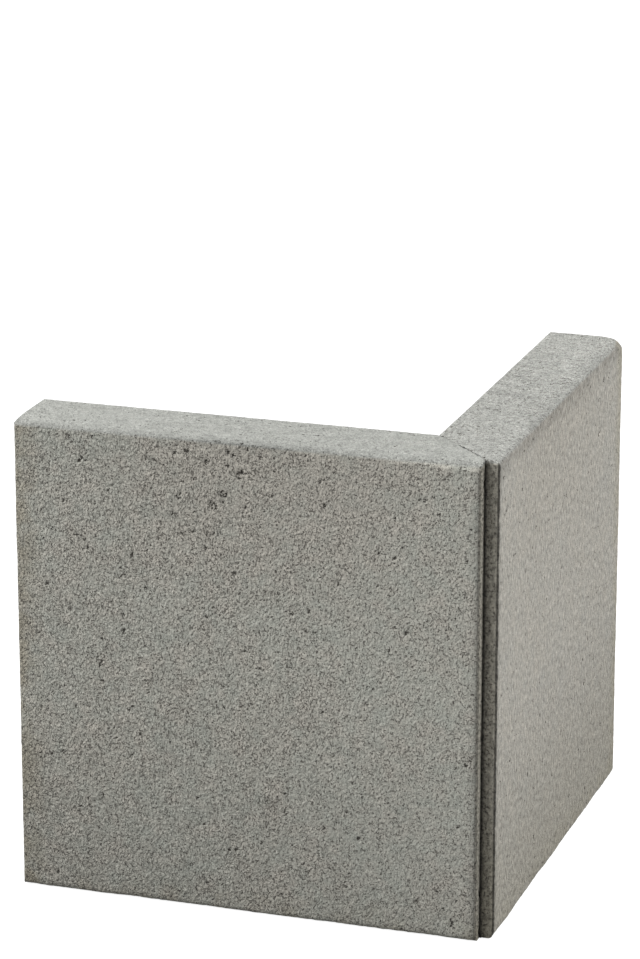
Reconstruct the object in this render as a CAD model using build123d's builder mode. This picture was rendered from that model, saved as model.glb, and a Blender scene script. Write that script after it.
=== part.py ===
"""L-shaped concrete corner block: two upright slabs with mitred ends that meet in a right angle.

Each slab is one casting. Its top falls away a little towards the outer face and turns down over a
rounded edge, and the foot of that face has a rounding too. Its mitre stops short of a knife edge in
a narrow blunt nose, so the two noses leave a square upright rebate along the outer corner.

Units are millimetres. The origin is the middle of the block's footprint, on the ground. +Z is up,
the left slab's outer face looks along -Y and the right slab's outer face looks along +X.
"""

import os

from build123d import *

# Driving dimensions

leg_length = 400.0  # outer corner to the free end, the same for both legs
slab_height = 400.0
slab_thickness = 65.0

crown_width = 28.0  # the top curves down over this width, up to the outer face
crown_drop = 2.0
top_radius = 7.0  # rounding of the top edge of the outer face
foot_radius = 6.0  # rounding of the bottom edge of the outer face
back_arris = 1.0  # small bevel on the top and bottom edges of the inner face

nose_width = 12.0  # blunt end of each mitre, square to the outer face
nose_arris = 3.0  # bevel on the upright edge between the outer face and the nose
joint_arris = 1.4  # bevel on the upright edge between the nose and the mitre, the mouth of the joint
end_arris = 1.0  # small bevel on the upright edges of the free end
mitre_gap = 0.3  # hairline joint between the two mitred ends

# Places that follow from them

half_leg = leg_length / 2
outer_y = -half_leg  # outer face of the left slab
inner_y = outer_y + slab_thickness
crown_y = outer_y + crown_width
free_end_x = -half_leg
nose_x = half_leg - nose_width
mitre_x = half_leg - mitre_gap / 2 * 2**0.5  # where the mitre face would meet the outer face
nose_y = outer_y + mitre_x - nose_x
mitre_plane = Plane(origin=(half_leg, outer_y, 0), z_dir=(1, 1, 0))

# Left slab

with BuildPart() as left_slab:
    # Section across the slab, with its crown and rounded edges, drawn out along the leg
    with BuildSketch(Plane.YZ.offset(free_end_x)) as section:
        with BuildLine():
            crown = TangentArc((crown_y, slab_height), (outer_y, slab_height - crown_drop), tangent=(-1, 0))
            Polyline(crown @ 1, (outer_y, 0), (inner_y, 0), (inner_y, slab_height), crown @ 0)
        make_face()
        outer_corners = section.vertices().group_by(Axis.Y)[0].sort_by(Axis.Z)
        inner_corners = section.vertices().group_by(Axis.Y)[-1]
        fillet(outer_corners[-1], top_radius)
        fillet(outer_corners[0], foot_radius)
        chamfer(inner_corners, back_arris)
    extrude(amount=leg_length)

    # Plan of the slab, with the square free end, the mitre and its blunt nose
    with BuildSketch(Plane.XY) as plan:
        with BuildLine():
            Polyline(
                (free_end_x, outer_y),
                (nose_x, outer_y),
                (nose_x, nose_y),
                (mitre_x - slab_thickness, inner_y),
                (free_end_x, inner_y),
                close=True,
            )
        make_face()
        nose_corners = plan.vertices().group_by(Axis.X)[-1].sort_by(Axis.Y)
        free_corners = plan.vertices().group_by(Axis.X)[0]
        chamfer(nose_corners[0], nose_arris)
        chamfer(nose_corners[-1], joint_arris)
        chamfer(free_corners, end_arris)
    extrude(amount=slab_height, mode=Mode.INTERSECT)

left_slab.part.label = "left_slab"

# Right slab, the mirror image of the left one across the mitre

with BuildPart() as right_slab:
    mirror(left_slab.part, about=mitre_plane)

right_slab.part.label = "right_slab"

# Files

os.makedirs("parts", exist_ok=True)
export_step(left_slab.part, "parts/left_slab.step")
export_step(right_slab.part, "parts/right_slab.step")
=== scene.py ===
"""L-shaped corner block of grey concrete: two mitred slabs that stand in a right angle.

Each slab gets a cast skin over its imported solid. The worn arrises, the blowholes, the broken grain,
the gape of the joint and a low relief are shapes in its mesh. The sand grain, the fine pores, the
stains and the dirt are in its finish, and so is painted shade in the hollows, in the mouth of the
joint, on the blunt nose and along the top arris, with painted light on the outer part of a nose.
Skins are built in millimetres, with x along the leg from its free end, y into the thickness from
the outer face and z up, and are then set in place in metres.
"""

import math
import random

import bmesh
import bpy
from mathutils import Matrix, Vector, kdtree, noise


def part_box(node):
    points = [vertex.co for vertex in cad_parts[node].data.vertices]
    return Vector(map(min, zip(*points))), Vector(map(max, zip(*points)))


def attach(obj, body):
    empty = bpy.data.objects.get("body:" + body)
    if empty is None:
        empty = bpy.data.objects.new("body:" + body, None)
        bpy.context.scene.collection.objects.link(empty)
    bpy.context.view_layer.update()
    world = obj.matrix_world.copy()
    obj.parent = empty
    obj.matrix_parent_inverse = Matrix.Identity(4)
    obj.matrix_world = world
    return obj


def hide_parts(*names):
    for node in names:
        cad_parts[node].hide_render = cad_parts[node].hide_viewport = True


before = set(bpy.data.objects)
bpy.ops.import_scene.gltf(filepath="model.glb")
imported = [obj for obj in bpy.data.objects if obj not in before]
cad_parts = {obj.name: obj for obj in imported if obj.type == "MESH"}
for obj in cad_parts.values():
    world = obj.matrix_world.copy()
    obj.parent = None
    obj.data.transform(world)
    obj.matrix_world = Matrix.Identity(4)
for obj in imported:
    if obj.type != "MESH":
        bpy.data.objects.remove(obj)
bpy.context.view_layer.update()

MM = 0.001

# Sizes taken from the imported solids, in millimetres

left_low, left_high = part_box("left_slab")
right_low, right_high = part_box("right_slab")
CORNER_X = right_high[0] / MM
OUTER_Y = left_low[1] / MM
HEIGHT = left_high[2] / MM
THICKNESS = (left_high[1] - left_low[1]) / MM
LEG = (right_high[0] - left_low[0]) / MM
NOSE_X = (left_high[0] - left_low[0]) / MM  # free end to the blunt nose
NOSE = LEG - NOSE_X  # width of the nose
HALF_JOINT = 0.03  # each mitre stands this far back from the true diagonal, along the leg

# Net of the skins, in millimetres between its lines

FRONT_STEP = 1.5  # outer face and nose, along the whole leg, and as far back as the nose goes
TOP_STEP = 1.95  # across the top behind that
BACK_STEP = 13.0  # up the inner face and the back of the free end
TINY = 0.01  # two places nearer than this count as level

# Worn edges, in millimetres

CROWN_WIDTH = 28.0  # the top falls away over this width towards the outer face
CROWN_DROP = 2.0
CROWN_START = 40.0  # the face below the crown sinks with it, from this far under the top
BEVEL_FULLNESS = 1.3  # roundness of the nose's bevel, where 1 is flat and 2 a quarter circle
BEVEL_SLANT = 1.3  # how much further the nose's bevel reaches along the outer face
FOOT_ARRIS = 6.0
BACK_TOP_ARRIS = 0.9
BACK_FOOT_ARRIS = 1.0
FREE_FRONT_ARRIS = 1.6
FREE_BACK_ARRIS = 1.4
FREE_TOP_ARRIS = 1.7
NOSE_TOP_ARRIS = 1.2

# The joint, in millimetres

MOUTH = 0.4  # how far each mitre gapes from the diagonal where it comes out in the rebate
THROAT = 6.0  # the gape closes over this depth behind the nose
BEND = 2.2  # the gape pulls back the mitre's edge over this width
NOTCH = 2.2  # depth of the deepest bits broken out of the mitre's edge
TOP_ZONE = 4.0  # bits are broken off the mitre's edge this near to the top
CHIP_DROP = 0.8  # depth of the deepest of them

# Rough faces, in millimetres

GRAIN_RELIEF = 0.16  # mean depth of the sand grain
SWELL_RELIEF = 0.12  # mean depth of the dents a finger wide
WARP_RELIEF = 0.2  # mean depth of the long waves in each face
MITRE_GUARD = 0.8  # nearer to the mitre than this only the top is sunk

# Hollows, in millimetres

SMALLEST_HOLE = 0.8  # radius of the smallest blowhole
FACE_HOLE_RANGE = 1.1  # how much wider the widest one is, on the outer face
TOP_HOLE_RANGE = 0.9  # the same on the top
BROKEN_RADIUS = (1.1, 1.7)  # the broken grains of a cluster
BROKEN_DEPTH = (0.9, 1.6)
HOLLOW_FLOOR = 0.35  # share of the radius over which a hollow is at its deepest
HOLLOW_RIM = 1.1  # share of the radius at which it ends
LONGEST_HOLLOW = 1.7  # length over width

SHARP_ANGLE = math.radians(50)  # faces that meet at more than this show a crisp edge


def smooth_step(low, high, value):
    """0 below low, 1 above high, with a soft ramp between."""
    t = min(max((value - low) / (high - low), 0.0), 1.0)
    return t * t * (3 - 2 * t)


def quarter_round(a, b, reach_a, reach_b, fullness=2.0):
    """Wears a square edge. a and b are depths behind its two faces, and fullness 1 gives a flat bevel."""
    p = 1 - a / reach_a
    q = 1 - b / reach_b
    if p <= 0 or q <= 0:
        return a, b
    shrink = max(p, q) / (p**fullness + q**fullness) ** (1 / fullness)
    return reach_a * (1 - p * shrink), reach_b * (1 - q * shrink)


def ripple(x, y, z, size, seed):
    """Smooth noise from about -1 to 1 with lumps of the given size in millimetres."""
    return noise.noise(Vector((x / size + seed, y / size - seed, z / size + 0.5 * seed)))


# Skins


def edges_between(bm, test):
    """Edges whose two ends pass the test."""
    return [edge for edge in bm.edges if test(edge.verts[0].co, edge.verts[1].co)]


def cut_rows(bm, edges, spacing):
    """Cuts edges that lie side by side into steps of about the spacing, and joins the cuts up."""
    longest = max(edge.calc_length() for edge in edges)
    bmesh.ops.subdivide_edges(bm, edges=edges, cuts=round(longest / spacing) - 1, use_grid_fill=True)


def netted_prism():
    """The slab as a sharp prism with a fine net on its outer face, top, nose and free end."""
    bm = bmesh.new()
    nose_y = NOSE - HALF_JOINT
    plan = {
        "free_front": (0, 0),
        "nose_front": (NOSE_X, 0),
        "nose_back": (NOSE_X, nose_y),
        "free_line": (0, nose_y),
        "inner_corner": (LEG - HALF_JOINT - THICKNESS, THICKNESS),
        "free_back": (0, THICKNESS),
    }
    spot = {name: bm.verts.new((x, y, 0)) for name, (x, y) in plan.items()}
    for outline in (
        ("free_front", "nose_front", "nose_back", "free_line"),
        ("free_line", "nose_back", "inner_corner", "free_back"),
    ):
        bm.faces.new([spot[name] for name in outline])
    grown = bmesh.ops.extrude_face_region(bm, geom=bm.faces[:])["geom"]
    roof = [part for part in grown if isinstance(part, bmesh.types.BMVert)]
    bmesh.ops.translate(bm, verts=roof, vec=(0, 0, HEIGHT))
    bmesh.ops.recalc_face_normals(bm, faces=bm.faces[:])

    level = lambda a, b: abs(a.z - b.z) < TINY
    front = lambda a, b: max(a.y, b.y) < nose_y + TINY
    cut_rows(bm, edges_between(bm, lambda a, b: level(a, b) and abs(a.y - b.y) < TINY), FRONT_STEP)
    across = lambda a, b: level(a, b) and abs(a.y - b.y) > TINY
    cut_rows(bm, edges_between(bm, lambda a, b: across(a, b) and front(a, b)), FRONT_STEP)
    on_top = lambda a, b: across(a, b) and not front(a, b) and a.z > HEIGHT - TINY
    cut_rows(bm, edges_between(bm, on_top), TOP_STEP)
    cut_rows(bm, edges_between(bm, lambda a, b: not level(a, b) and front(a, b)), FRONT_STEP)
    cut_rows(bm, edges_between(bm, lambda a, b: not level(a, b) and not front(a, b)), BACK_STEP)
    split_mitre(bm)
    wide = [face for face in bm.faces if len(face.verts) > 4]
    bmesh.ops.triangulate(bm, faces=wide, quad_method="BEAUTY", ngon_method="BEAUTY")
    return bm


def split_mitre(bm):
    """Cuts the mitre face upright behind the nose, where the gape of the joint ends."""
    mitre = [face for face in bm.faces if face.normal.x > 0.5 and face.normal.y > 0.5]
    rim = {part for face in mitre for part in (*face.edges, *face.verts)}
    throat = (NOSE_X - THROAT, 0, 0)
    bmesh.ops.bisect_plane(bm, geom=mitre + list(rim), plane_co=throat, plane_no=(1, 0, 0))


def reach_at(along, stops):
    """Reach of a worn edge at a place along the leg, from stops of place and reach."""
    for (near, low), (far, high) in zip(stops, stops[1:]):
        if along <= far:
            return low + (high - low) * smooth_step(near, far, along)
    return stops[-1][1]


def wear_edges(bm, wear):
    """Rounds the arrises of the prism, each by its own amount, with the unevenness of handling."""
    seed = wear["seed"]
    for vert in bm.verts:
        x, y, z = vert.co
        # uneven varies along the slab, and chip up its height
        uneven = 1 + 0.2 * ripple(x, 0, 0, 23, seed) + 0.15 * ripple(x, 0, 0, 6, seed + 7)
        down_reach = uneven * reach_at(x, wear["top_arris"])
        back_reach = down_reach * wear["top_slant"]
        chip = 1 + 0.35 * ripple(0, 0, z, 17, seed + 3) + 0.3 * ripple(0, 0, z, 4, seed + 5)

        # Along the slab: top and foot of the outer face, then of the inner face
        y, top = quarter_round(y, HEIGHT - z, back_reach, down_reach, wear["top_fullness"])
        y, z = quarter_round(y, HEIGHT - top, FOOT_ARRIS * uneven, FOOT_ARRIS * uneven)
        back, top = quarter_round(THICKNESS - y, HEIGHT - z, BACK_TOP_ARRIS * chip, BACK_TOP_ARRIS * chip)
        back, z = quarter_round(back, HEIGHT - top, BACK_FOOT_ARRIS, BACK_FOOT_ARRIS)

        # Upright: the nose's bevel, then the free end's front and back
        bevel = wear["bevel"] * chip
        nose, y = quarter_round(NOSE_X - x, THICKNESS - back, bevel, bevel * BEVEL_SLANT, BEVEL_FULLNESS)
        x, y = quarter_round(NOSE_X - nose, y, FREE_FRONT_ARRIS * chip, FREE_FRONT_ARRIS * chip)
        x, back = quarter_round(x, THICKNESS - y, FREE_BACK_ARRIS * chip, FREE_BACK_ARRIS * chip)

        # Across the top: the free end, then the nose
        x, top = quarter_round(x, HEIGHT - z, FREE_TOP_ARRIS * chip, FREE_TOP_ARRIS * chip)
        nose, top = quarter_round(NOSE_X - x, top, NOSE_TOP_ARRIS * chip, NOSE_TOP_ARRIS * chip)
        x, y, z = NOSE_X - nose, THICKNESS - back, HEIGHT - top
        crown = CROWN_DROP * max(1 - y / CROWN_WIDTH, 0.0) ** 2
        vert.co = (x, y, z - crown * smooth_step(HEIGHT - CROWN_START, HEIGHT, z))


def behind_mitre(place):
    """How far a place in the slab lies behind the plane of the mitre."""
    return (LEG - HALF_JOINT - place.x - place.y) / math.sqrt(2)


def open_joint(bm, seed):
    """Lets the mitre gape where it comes out in the rebate, and breaks bits off its edge on the top."""
    for vert in bm.verts:
        behind = behind_mitre(vert.co)
        if behind > BEND:
            continue
        x, y, z = vert.co
        near = 1 - max(behind, 0) / BEND
        shut = smooth_step(HEIGHT - 5, HEIGHT - 2, z)  # the joint stays closed on the top
        notch = max(0.0, NOTCH * ripple(0, 0, z, 11, seed + 31) - 0.5)
        mouth = MOUTH * (1 + 0.25 * ripple(0, 0, z, 9, seed))
        gape = (mouth + notch) * (1 - 0.9 * shut)
        gape *= near * max(1 - (NOSE_X - x) / THROAT, 0.0)
        vert.co.x -= gape / math.sqrt(2)
        vert.co.y -= gape / math.sqrt(2)
        if z > HEIGHT - TOP_ZONE:
            vert.co.z -= near * max(0.0, CHIP_DROP * ripple(x, y, 0, 6, seed + 2) - 0.1)


def scatter_hollows(rng, wear):
    """Places of the blowholes and broken grains: a point on the skin, a radius and a depth."""
    hollows = []
    seed = wear["seed"]

    # On the outer face, in loose crowds
    while len(hollows) < wear["outer_hollows"]:
        x, z = rng.uniform(2, NOSE_X - 4), rng.uniform(3, HEIGHT - 5)
        crowd = 0.5 + 0.35 * ripple(x, 0, z, 60, seed + 11) + 0.35 * ripple(x, 0, z, 17, seed + 12)
        crowd += wear["high_crowd"] * smooth_step(140, HEIGHT, z)
        if rng.random() < max(crowd, 0.06) ** 2:
            radius = SMALLEST_HOLE + FACE_HOLE_RANGE * rng.random() ** 3
            hollows.append((Vector((x, 0, z)), radius, 0.45 * radius))

    # On the top, clear of the mitre
    for _ in range(wear["top_hollows"]):
        x, y = rng.uniform(2, NOSE_X - 60), rng.uniform(4, THICKNESS - 2)
        radius = SMALLEST_HOLE + TOP_HOLE_RANGE * rng.random() ** 2
        hollows.append((Vector((x, y, HEIGHT)), radius, 0.4 * radius))

    # Clusters of broken grain
    for (x, y, z), spread, count in wear["clusters"]:
        for _ in range(count):
            place = Vector((x + rng.gauss(0, spread), y, z + rng.gauss(0, spread)))
            hollows.append((place, rng.uniform(*BROKEN_RADIUS), rng.uniform(*BROKEN_DEPTH)))
    return hollows


def roughen(bm, wear):
    """Sinks grain and hollows into the skin, and notes for each point how far in a hollow it is."""
    rng = random.Random(wear["seed"])
    seed = wear["seed"]
    hollow_of = {}  # for the points in a hollow, how far in they are, from 0 to 1, and how deep
    tree = kdtree.KDTree(len(bm.verts))
    bm.verts.ensure_lookup_table()
    for index, vert in enumerate(bm.verts):
        tree.insert(vert.co, index)
    tree.balance()
    for place, radius, depth in scatter_hollows(rng, wear):
        turn = rng.uniform(0, math.pi)
        stretch = rng.uniform(1.0, LONGEST_HOLLOW)
        longways = Vector((math.cos(turn), 0.3, math.sin(turn))).normalized()
        for _, index, _ in tree.find_range(place, radius * stretch + FRONT_STEP):
            offset = bm.verts[index].co - place
            run = offset.dot(longways)
            rest = (offset - run * longways).length
            distance = math.hypot(run / stretch, rest) / radius
            sunk = 1 - smooth_step(HOLLOW_FLOOR, HOLLOW_RIM, distance)
            if sunk > 0:
                was = hollow_of.get(index, (0.0, 0.0))
                hollow_of[index] = (max(was[0], sunk), max(was[1], depth * sunk))
    bm.normal_update()
    hollow_layer = bm.verts.layers.float.new("hollow")
    moved = []
    for index, vert in enumerate(bm.verts):
        x, y, z = vert.co
        sunk, depth = hollow_of.get(index, (0.0, 0.0))
        grain = GRAIN_RELIEF * (1 + ripple(x, y, z, 2.6, seed + 21))
        swell = SWELL_RELIEF * (1 + ripple(x, y, z, 13, seed + 22))
        swell += WARP_RELIEF * (1 + ripple(x, y, z, 70, seed + 23))
        outward = vert.normal
        if behind_mitre(vert.co) < MITRE_GUARD:
            outward = Vector((0, 0, smooth_step(HEIGHT - 6, HEIGHT - 3, z)))
        moved.append(vert.co - outward * (depth + grain + swell))
        vert[hollow_layer] = sunk
    for vert, place in zip(bm.verts, moved):
        vert.co = place
        vert.co.z = max(vert.co.z, 0.0)  # nothing goes below the ground


def cast_skin(name, node, placing, wear, finish):
    """A finished slab skin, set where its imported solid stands."""
    bm = netted_prism()
    wear_edges(bm, wear)
    open_joint(bm, wear["seed"])
    roughen(bm, wear)
    for face in bm.faces:
        face.smooth = True
    bmesh.ops.transform(bm, matrix=placing, verts=bm.verts[:])
    bmesh.ops.recalc_face_normals(bm, faces=bm.faces[:])
    mesh = bpy.data.meshes.new(name)
    bm.to_mesh(mesh)
    bm.free()
    mesh.set_sharp_from_angle(angle=SHARP_ANGLE)
    mesh.materials.append(finish)
    skin = bpy.data.objects.new(name, mesh)
    bpy.context.scene.collection.objects.link(skin)
    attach(skin, "root")
    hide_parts(node)
    return skin


# Finishes


class Socket:
    """An output in a finish's nodes, which sums and products can use like a number."""

    def __init__(self, finish, output):
        self.finish = finish
        self.output = output

    def math(self, operation, *values):
        values = dict(enumerate(values))
        return self.finish.node("ShaderNodeMath", {"operation": operation}, values)

    def __add__(self, other):
        return self.math("ADD", self, other)

    def __radd__(self, other):
        return self.math("ADD", other, self)

    def __sub__(self, other):
        return self.math("SUBTRACT", self, other)

    def __rsub__(self, other):
        return self.math("SUBTRACT", other, self)

    def __mul__(self, other):
        return self.math("MULTIPLY", self, other)

    def __rmul__(self, other):
        return self.math("MULTIPLY", other, self)

    def held(self):
        """The value, kept between 0 and 1."""
        return self.math("MINIMUM", self.math("MAXIMUM", self, 0.0), 1.0)

    def ramp(self, low, high):
        """0 at low and 1 at high, with a straight ramp between. low may be above high."""
        return ((self - low) * (1 / (high - low))).held()

    def twin(self, name):
        """Another output of the same node."""
        return Socket(self.finish, self.output.node.outputs[name])


class Finish:
    """A material in the making."""

    def __init__(self, name):
        self.material = bpy.data.materials.new(name)
        self.material.use_nodes = True
        self.tree = self.material.node_tree
        self.tree.nodes.clear()

    def node(self, kind, settings=None, sockets=None, output=0):
        made = self.tree.nodes.new(kind)
        for key, value in (settings or {}).items():
            setattr(made, key, value)
        for key, value in (sockets or {}).items():
            if isinstance(value, Socket):
                self.tree.links.new(value.output, made.inputs[key])
            else:
                made.inputs[key].default_value = value
        return Socket(self, made.outputs[output]) if made.outputs else None

    def noise(self, place, size, detail=2.0, roughness=0.5):
        """Cloudy noise around 0.5 with lumps of the given size in millimetres."""
        sockets = {"Vector": place, "Scale": 1 / size, "Detail": detail, "Roughness": roughness}
        return self.node("ShaderNodeTexNoise", {}, sockets)

    def cells(self, place, size):
        """Distance to the middle of the nearest cell, in cells, for cells of the given size."""
        return self.node("ShaderNodeTexVoronoi", {}, {"Vector": place, "Scale": 1 / size})

    def chance(self, cells):
        """A number from 0 to 1 for each cell."""
        return self.node("ShaderNodeSeparateColor", {}, {"Color": cells.twin("Color")})

    def mix(self, factor, a, b, blend="MIX"):
        """Colour mix."""
        settings = {"data_type": "RGBA", "blend_type": blend}
        return self.node("ShaderNodeMix", settings, {0: factor, 6: a, 7: b}, 2)


def paint(red, green, blue):
    return (red, green, blue, 1.0)


# The colour below is painted shade at the bottom of a deep hollow
PIT_SHADE = paint(0.02, 0.018, 0.015)  # the bottom of a deep hollow


def slab_place(finish, along_axis):
    """Place in millimetres: in the object, then along the leg from its free end, depth and height."""
    metres = finish.node("ShaderNodeTexCoord", output="Object")
    place = finish.node("ShaderNodeMapping", {}, {"Vector": metres, "Scale": (1 / MM, 1 / MM, 1 / MM)})
    parts = finish.node("ShaderNodeSeparateXYZ", {}, {"Vector": place})
    if along_axis == "X":
        along, depth = parts.twin("X") + LEG / 2, parts.twin("Y") + LEG / 2
    else:
        along, depth = LEG / 2 - parts.twin("Y"), LEG / 2 - parts.twin("X")
    return place, along, depth, parts.twin("Z")


def concrete(name, along_axis, tone, face):
    """Fair-faced concrete: clouded grey, sand grain, pores, stains, edges darker towards the free end,
    dirt, and painted shade in the hollows, the joint, the rebate and along the top arris.
    """
    finish = Finish(name)
    place, along, depth, height = slab_place(finish, along_axis)

    # Places to read the marks at: bent a little, drawn out upright, and in long upright streaks
    fine = {"Vector": place, "Scale": 0.7, "Detail": 2.0}
    wander = finish.node("ShaderNodeTexNoise", {}, fine, "Color")
    shift = finish.node("ShaderNodeVectorMath", {"operation": "SCALE"}, {0: wander, "Scale": 2.4})
    bent = finish.node("ShaderNodeVectorMath", {"operation": "ADD"}, {0: place, 1: shift})
    drawn = finish.node("ShaderNodeMapping", {}, {"Vector": bent, "Scale": (1.0, 1.0, face["draw"])})
    streaked = finish.node("ShaderNodeMapping", {}, {"Vector": place, "Scale": (1.0, 1.0, 0.15)})

    # Marks, from the widest to the finest
    clouds = finish.noise(place, 60.0, 3.0, 0.6)
    worn = finish.noise(place, 22.0, 3.0)
    patches = finish.noise(place, 13.0)
    coarse = finish.noise(bent, 4.0, roughness=0.55)
    strokes = finish.noise(drawn, 3.0)
    worms = finish.noise(place, 2.6, 1.0)
    lumps = finish.noise(drawn, 2.0, 1.0)
    streak = finish.noise(streaked, 1.6, roughness=0.6) - 0.5
    grains = finish.chance(finish.cells(bent, 1.5))
    sand = finish.noise(place, 1.1, 1.0)

    # Parts of the slab: the top with its crown, all well below it, the inner face and the blunt nose
    arc = depth.ramp(24.0, 8.0) * face["arc"]
    flat_top = (height + arc).ramp(HEIGHT - 3.0, HEIGHT - 1.0)
    below_top = height.ramp(HEIGHT - 2.5, HEIGHT - 5.0)
    inner = depth.ramp(THICKNESS - 3.0, THICKNESS - 1.5)
    ragged = (finish.noise(streaked, 2.2) - 0.5) * 1.2 + (worms - 0.5)
    nose = (along + ragged).ramp(NOSE_X - 2.2, NOSE_X - 1.2)

    # Pores: open cracks, round holes, specks, and the broken grain of the modelled hollows, darkened as
    # painted shade
    crowd = (clouds - 0.5) * 0.09 + (patches - 0.5) * 0.09 - along.ramp(LEG * 0.6, NOSE_X) * 0.018
    level = face["pores"] + crowd - face["top_pores"] * flat_top + nose * face["nose_pores"]
    ring = lumps - 0.5
    cracks = ring.math("ABSOLUTE", ring).ramp(0.07, 0.03) * (worms + level).ramp(0.56, 0.60)
    holes = (finish.noise(drawn, 1.5, 1.0) + level).ramp(0.67, 0.70)
    specks = (finish.noise(drawn, 0.9, 0.0) + level).ramp(0.69, 0.73)
    sunk = finish.node("ShaderNodeAttribute", {"attribute_name": "hollow"}, output="Fac")
    # This darkens the modelled hollows with the pore colour: their broken grain, and painted shade in
    # them
    broken = (sunk * 1.3 + (finish.noise(place, 1.3, 1.0) - 0.5) * 3.0).ramp(0.65, 0.85)
    dark = (cracks * 0.8 + holes + specks + broken).held()

    # Dirt and painted shade: darker on the nose's bevel, painted shade in the mouth of the joint, dirt
    # along the seam, darker beside the rebate, painted shade under the top arris and on its rim, and dirt
    # and painted shade on the nose
    side, front = (NOSE_X - along) * (1 / face["bevel"]), depth * (0.8 / face["bevel"])
    bevel = (side.math("MAXIMUM", side, front) + ragged * 0.5).ramp(1.3, 0.95)
    mitre = LEG - along - depth
    # Painted shade in the mouth of the joint, where the gap lies in shadow
    joint = (mitre + ragged * 0.8 + (coarse - 0.5) * 2.5).ramp(3.0, 1.0) * below_top
    seam = coarse.ramp(0.40, 0.52) * (mitre + (worms - 0.5) * 5.0).ramp(1.3, 0.5)
    seam = seam * patches.ramp(0.38, 0.46) * flat_top
    margin = along.ramp(NOSE_X - 9.0, NOSE_X - 3.0) * below_top * 0.2
    # Painted shade in a band under the top arris
    under = height.ramp(HEIGHT - 22.0, HEIGHT - 7.0) * worn.ramp(0.3, 0.5) * (1 - flat_top)
    under = under * depth.ramp(16.0, 9.0) * face["under"]
    # On the blunt nose: painted shade that deepens towards the joint, blotched like dirt, and painted
    # light on its outer part, or more painted shade where lip is below 0
    lip = depth.ramp(9.0, 3.0) * depth.ramp(1.2, 2.0)
    blotch = streak * 0.4 + (coarse - 0.5) + (worms - 0.5) * 1.4 + (sand - 0.5) * 1.3
    dirt_and_shade = 1 - nose * (depth.ramp(3.5, 11.0) * face["nose"] - lip * face["lip"] + blotch)
    dirt_and_shade = dirt_and_shade.math("MAXIMUM", dirt_and_shade, 0.1) * (1 - bevel * below_top * face["bevel_dark"])
    # Painted shade along the top's outer rim, where it rounds over
    rim = flat_top * depth.ramp(9.0, 2.0) * face["rim"]
    dirt_and_shade = dirt_and_shade * (1 - joint * 0.68) * (1 - seam * 0.85) * (1 - margin) * (1 - under) * (1 - rim)

    # Ground colour: cool and warm patches, browner and darker towards the free end and low on the faces,
    # stains at the foot, browner on the nose, the top's own
    cool, warm, stain = paint(*tone["cool"]), paint(*tone["warm"]), paint(*tone["stain"])
    blush = height.ramp(HEIGHT - 150.0, HEIGHT - 50.0) * along.ramp(60.0, 180.0)
    blush = blush * along.ramp(LEG - 30.0, LEG - 130.0)
    tint = clouds * 1.3 + patches * 1.6 - 0.95 + blush * 0.5
    body = finish.mix(tint.held(), cool, warm)
    edge = along.ramp(24.0, 4.0) * worn.ramp(0.3, 0.55)
    foot = height.ramp(26.0, 2.0) * worn.ramp(0.4, 0.65)
    low_browning = height.ramp(150.0, 0.0) * face["low_browning"]
    body = finish.mix((edge * 0.9 + foot * 0.6 + low_browning + nose * 0.6).held(), body, stain)
    body = finish.mix(flat_top, body, paint(*tone["top"]))

    # Speckle of the sand and lighter up the faces, then the pores, the dirt and painted shade over it,
    # and painted shade in the hollows
    contrast = face["contrast"] - along.ramp(LEG * 0.3, NOSE_X) * face["fade"]
    contrast += (1 - contrast) * flat_top
    speckle = (sand - 0.5) + (grains - 0.5) * 0.25 + (coarse - 0.5) * 0.2
    speckle += (clouds - 0.5) * 0.1 + (patches - 0.5) * 0.25
    speckle += (strokes - 0.5) * (1 - flat_top) * (1 - inner * 0.5) * face["strokes"]
    speckle += (clouds - 0.5) * inner * 0.3
    speckle += ((patches - 0.5) * 0.7 + (coarse - 0.5)) * flat_top * face["top_mottle"]
    lift = 0.87 + 0.16 * height.ramp(20.0, 200.0) + speckle * contrast - blush * 0.035
    lift += along.ramp(0.0, NOSE_X) * (0.03 - 0.08 * flat_top)
    body = finish.mix(dark * 0.9, body, paint(*tone["pore"]))
    body = finish.mix(1.0, body, lift * dirt_and_shade, "MULTIPLY")
    # Painted shade at the bottom of the modelled hollows
    body = finish.mix(broken * sunk * 0.6, body, PIT_SHADE)

    # Relief too fine for the mesh
    relief = 0.5 + ((lumps - 0.5) * 1.6 + (grains - 0.5) * 0.1) * contrast - dark * 0.5
    bump = finish.node("ShaderNodeBump", {}, {"Height": relief, "Strength": 1.0, "Distance": 1.5 * MM})
    surface = finish.node(
        "ShaderNodeBsdfPrincipled",
        {},
        {"Base Color": body, "Roughness": 0.94 - 0.1 * grains, "Normal": bump, "Specular IOR Level": 0.3},
    )
    finish.node("ShaderNodeOutputMaterial", {}, {"Surface": surface})
    return finish.material


# Colours of each slab: two kinds of patch on its faces, its stains, its pores and its top

LEFT_TONE = {
    "cool": (0.450, 0.461, 0.411),
    "warm": (0.484, 0.461, 0.407),
    "stain": (0.390, 0.362, 0.292),
    "pore": (0.075, 0.068, 0.058),
    "top": (0.438, 0.444, 0.414),
}
RIGHT_TONE = {
    "cool": (0.414, 0.402, 0.364),
    "warm": (0.426, 0.404, 0.357),
    "stain": (0.372, 0.350, 0.286),
    "pore": (0.150, 0.137, 0.118),
    "top": (0.485, 0.488, 0.456),
}

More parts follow.
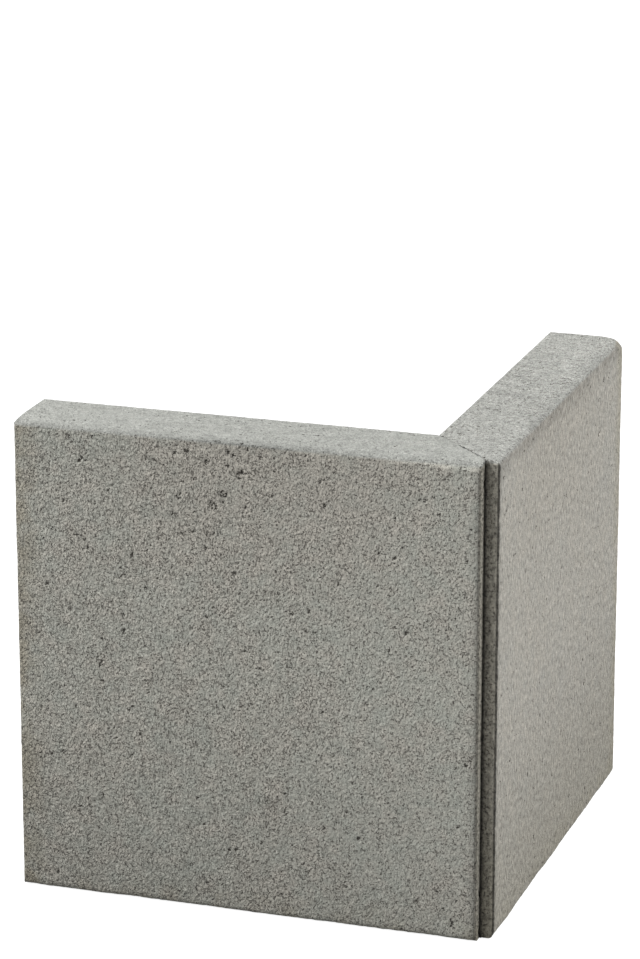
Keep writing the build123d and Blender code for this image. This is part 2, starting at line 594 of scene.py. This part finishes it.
# How strong each mark is. pores opens more pores where it is higher, and top_pores is how many fewer
# the top has. contrast scales the speckle of the faces, and fade is how much of it is gone at the nose.
# draw below 1 stretches the marks upright. arc is how far in millimetres the top's look reaches down
# the outer arris, rim is painted shade along that edge and under painted shade in a band below it, and
# low_browning browns and darkens the faces towards the foot. strokes are upright marks on the faces and
# top_mottle blotches on the top. nose is painted shade on the blunt nose that deepens towards the joint,
# lip is painted light on its outer part, or painted shade below 0, and nose_pores opens it.
# bevel is the width of the darker band on its bevel in millimetres, and bevel_dark its strength.

LEFT_FACE = {
    "pores": -0.015,
    "top_pores": 0.07,
    "contrast": 1.0,
    "fade": 0.28,
    "draw": 0.75,
    "arc": 3.0,
    "rim": 0.13,
    "under": 0.0,
    "strokes": 0.0,
    "low_browning": 0.0,
    "top_mottle": 0.3,
    "nose": 0.12,
    "nose_pores": 0.0,
    "lip": -0.12,
    "bevel": 2.1,
    "bevel_dark": 0.38,
}
RIGHT_FACE = {
    "pores": -0.12,
    "top_pores": -0.115,
    "contrast": 0.55,
    "fade": 0.0,
    "draw": 0.55,
    "arc": 1.6,
    "rim": 0.15,
    "under": 0.24,
    "strokes": 2.8,
    "low_browning": 0.5,
    "top_mottle": 0.6,
    "nose": 0.12,
    "nose_pores": 0.12,
    "lip": 0.6,
    "bevel": 1.6,
    "bevel_dark": 0.72,
}

left_finish = concrete("left_concrete", "X", LEFT_TONE, LEFT_FACE)
right_finish = concrete("right_concrete", "Y", RIGHT_TONE, RIGHT_FACE)

# Wear of each slab, in millimetres. top_arris gives places along the leg and how far down the outer
# face the worn arris reaches there, and top_slant is how many times as far it reaches back on the top.
# top_fullness is its roundness, where 1 is a flat bevel and 2 a quarter circle. bevel is the reach of
# the nose's bevel. outer_hollows and top_hollows are counts, and high_crowd makes more of the outer
# ones lie towards the top. A cluster is a place, a spread and a count of broken grains.

LEFT_WEAR = {
    "seed": 11,
    "top_arris": ((0, 2.6), (110, 2.6), (190, 1.2), (281, 3.0), (NOSE_X, 6.0)),
    "top_slant": 1.1,
    "top_fullness": 1.3,
    "bevel": 2.4,
    "outer_hollows": 520,
    "high_crowd": 0.15,
    "top_hollows": 50,
    "clusters": [
        ((169.0, 0.0, 344.0), 2.0, 8),
        ((177.0, 0.0, 353.0), 2.2, 8),
        ((162.0, 0.0, 379.0), 1.2, 3),
        ((184.0, 0.0, 388.0), 1.3, 4),
        ((193.0, 1.0, 396.0), 1.3, 3),
        ((199.0, 3.0, 398.5), 1.2, 3),
        ((192.0, 0.0, 372.0), 2.0, 5),
        ((141.0, 0.0, 348.0), 1.2, 3),
        ((147.0, 0.0, 387.0), 1.3, 3),
        ((142.0, 0.0, 318.0), 1.2, 2),
        ((153.0, 0.0, 321.0), 1.2, 2),
        ((60.0, 0.0, 372.0), 3.0, 4),
    ],
}
RIGHT_WEAR = {
    "seed": 29,
    "top_arris": ((0, 9.5), (36, 2.2), (200, 1.5), (NOSE_X, 3.0)),
    "top_slant": 1.25,
    "top_fullness": 1.7,
    "bevel": 1.8,
    "outer_hollows": 330,
    "high_crowd": 0.1,
    "top_hollows": 170,
    "clusters": [
        ((62.0, 0.0, 378.0), 6.0, 6),
        ((76.0, 0.0, 334.0), 2.5, 5),
        ((110.0, 0.0, 250.0), 2.0, 3),
        ((LEG - 31.0, 29.0, HEIGHT), 1.2, 5),
        ((LEG - 17.0, 15.0, HEIGHT - 1.0), 1.0, 4),
        ((LEG - 24.0, 1.0, HEIGHT - 5.0), 0.8, 2),
    ],
}

# From millimetres in the slab to metres in the object. The right slab is the mirror image.

LEFT_PLACING = Matrix(
    (
        (MM, 0, 0, -LEG / 2 * MM),
        (0, MM, 0, OUTER_Y * MM),
        (0, 0, MM, 0),
        (0, 0, 0, 1),
    )
)
RIGHT_PLACING = Matrix(
    (
        (0, -MM, 0, CORNER_X * MM),
        (-MM, 0, 0, LEG / 2 * MM),
        (0, 0, MM, 0),
        (0, 0, 0, 1),
    )
)

cast_skin("left_slab_skin", "left_slab", LEFT_PLACING, LEFT_WEAR, left_finish)
cast_skin("right_slab_skin", "right_slab", RIGHT_PLACING, RIGHT_WEAR, right_finish)

# Stage, light and camera, in metres

FLOOR_REACH = 60.0  # from the middle of the floor to its edge
BLOCK_MIDDLE = (0.0, 0.0, 0.2)


def pale_floor():
    """A wide white floor, a little lifted for the camera, which keeps the block's soft shadow."""
    bm = bmesh.new()
    bmesh.ops.create_grid(bm, x_segments=4, y_segments=4, size=FLOOR_REACH)
    mesh = bpy.data.meshes.new("floor")
    bm.to_mesh(mesh)
    bm.free()
    finish = Finish("floor_white")
    path = finish.node("ShaderNodeLightPath", output="Is Camera Ray")
    seen = (path + path.twin("Is Glossy Ray") + path.twin("Is Transmission Ray")).held()
    lift = finish.mix(seen, paint(0.0, 0.0, 0.0), paint(1.0, 1.0, 1.0))
    sockets = {
        "Base Color": paint(0.3, 0.3, 0.3),
        "Roughness": 0.9,
        "Emission Color": lift,
        "Emission Strength": 0.9,
    }
    surface = finish.node("ShaderNodeBsdfPrincipled", {}, sockets)
    finish.node("ShaderNodeOutputMaterial", {}, {"Surface": surface})
    mesh.materials.append(finish.material)
    floor = bpy.data.objects.new("floor", mesh)
    bpy.context.scene.collection.objects.link(floor)


def white_world(level):
    """Even light from all round, seen as pure white by the camera."""
    world = bpy.data.worlds.new("studio")
    world.use_nodes = True
    bpy.context.scene.world = world
    nodes, links = world.node_tree.nodes, world.node_tree.links
    nodes.clear()
    path = nodes.new("ShaderNodeLightPath")
    lit = nodes.new("ShaderNodeBackground")
    lit.inputs["Strength"].default_value = level
    seen = nodes.new("ShaderNodeBackground")
    seen.inputs["Strength"].default_value = 1.0
    for background in (lit, seen):
        background.inputs["Color"].default_value = paint(1.0, 1.0, 1.0)
    mixer = nodes.new("ShaderNodeMixShader")
    out = nodes.new("ShaderNodeOutputWorld")
    links.new(path.outputs["Is Camera Ray"], mixer.inputs["Fac"])
    links.new(lit.outputs["Background"], mixer.inputs[1])
    links.new(seen.outputs["Background"], mixer.inputs[2])
    links.new(mixer.outputs["Shader"], out.inputs["Surface"])


def soft_lamp(name, place, aim, size, power):
    """A square soft light at a place, turned to its aim."""
    lamp = bpy.data.lights.new(name, "AREA")
    lamp.shape = "SQUARE"
    lamp.size = size
    lamp.energy = power
    holder = bpy.data.objects.new(name, lamp)
    holder.location = place
    holder.rotation_euler = (Vector(aim) - Vector(place)).to_track_quat("-Z", "Y").to_euler()
    bpy.context.scene.collection.objects.link(holder)


def set_camera(aim, azimuth, elevation, distance, lens):
    """A camera that looks at the aim from its right and above, level from side to side."""
    turn, tip = math.radians(azimuth), math.radians(elevation)
    ahead = Vector((-math.sin(turn) * math.cos(tip), math.cos(turn) * math.cos(tip), -math.sin(tip)))
    data = bpy.data.cameras.new("camera")
    data.sensor_width = 36.0
    data.lens = lens
    camera = bpy.data.objects.new("camera", data)
    camera.location = Vector(aim) - ahead * distance
    camera.rotation_euler = ahead.to_track_quat("-Z", "Y").to_euler()
    bpy.context.scene.collection.objects.link(camera)
    bpy.context.scene.camera = camera


pale_floor()
white_world(level=0.3)
soft_lamp("left_key", (-4.0, -3.4, 4.8), BLOCK_MIDDLE, size=1.8, power=385.0)
soft_lamp("right_key", (4.5, 1.0, 4.3), BLOCK_MIDDLE, size=2.0, power=280.0)
set_camera((-0.017, 0.0269, 0.3016), azimuth=18.222, elevation=16.884, distance=3.3661, lens=150.16)
bpy.context.scene.view_settings.view_transform = "Standard"
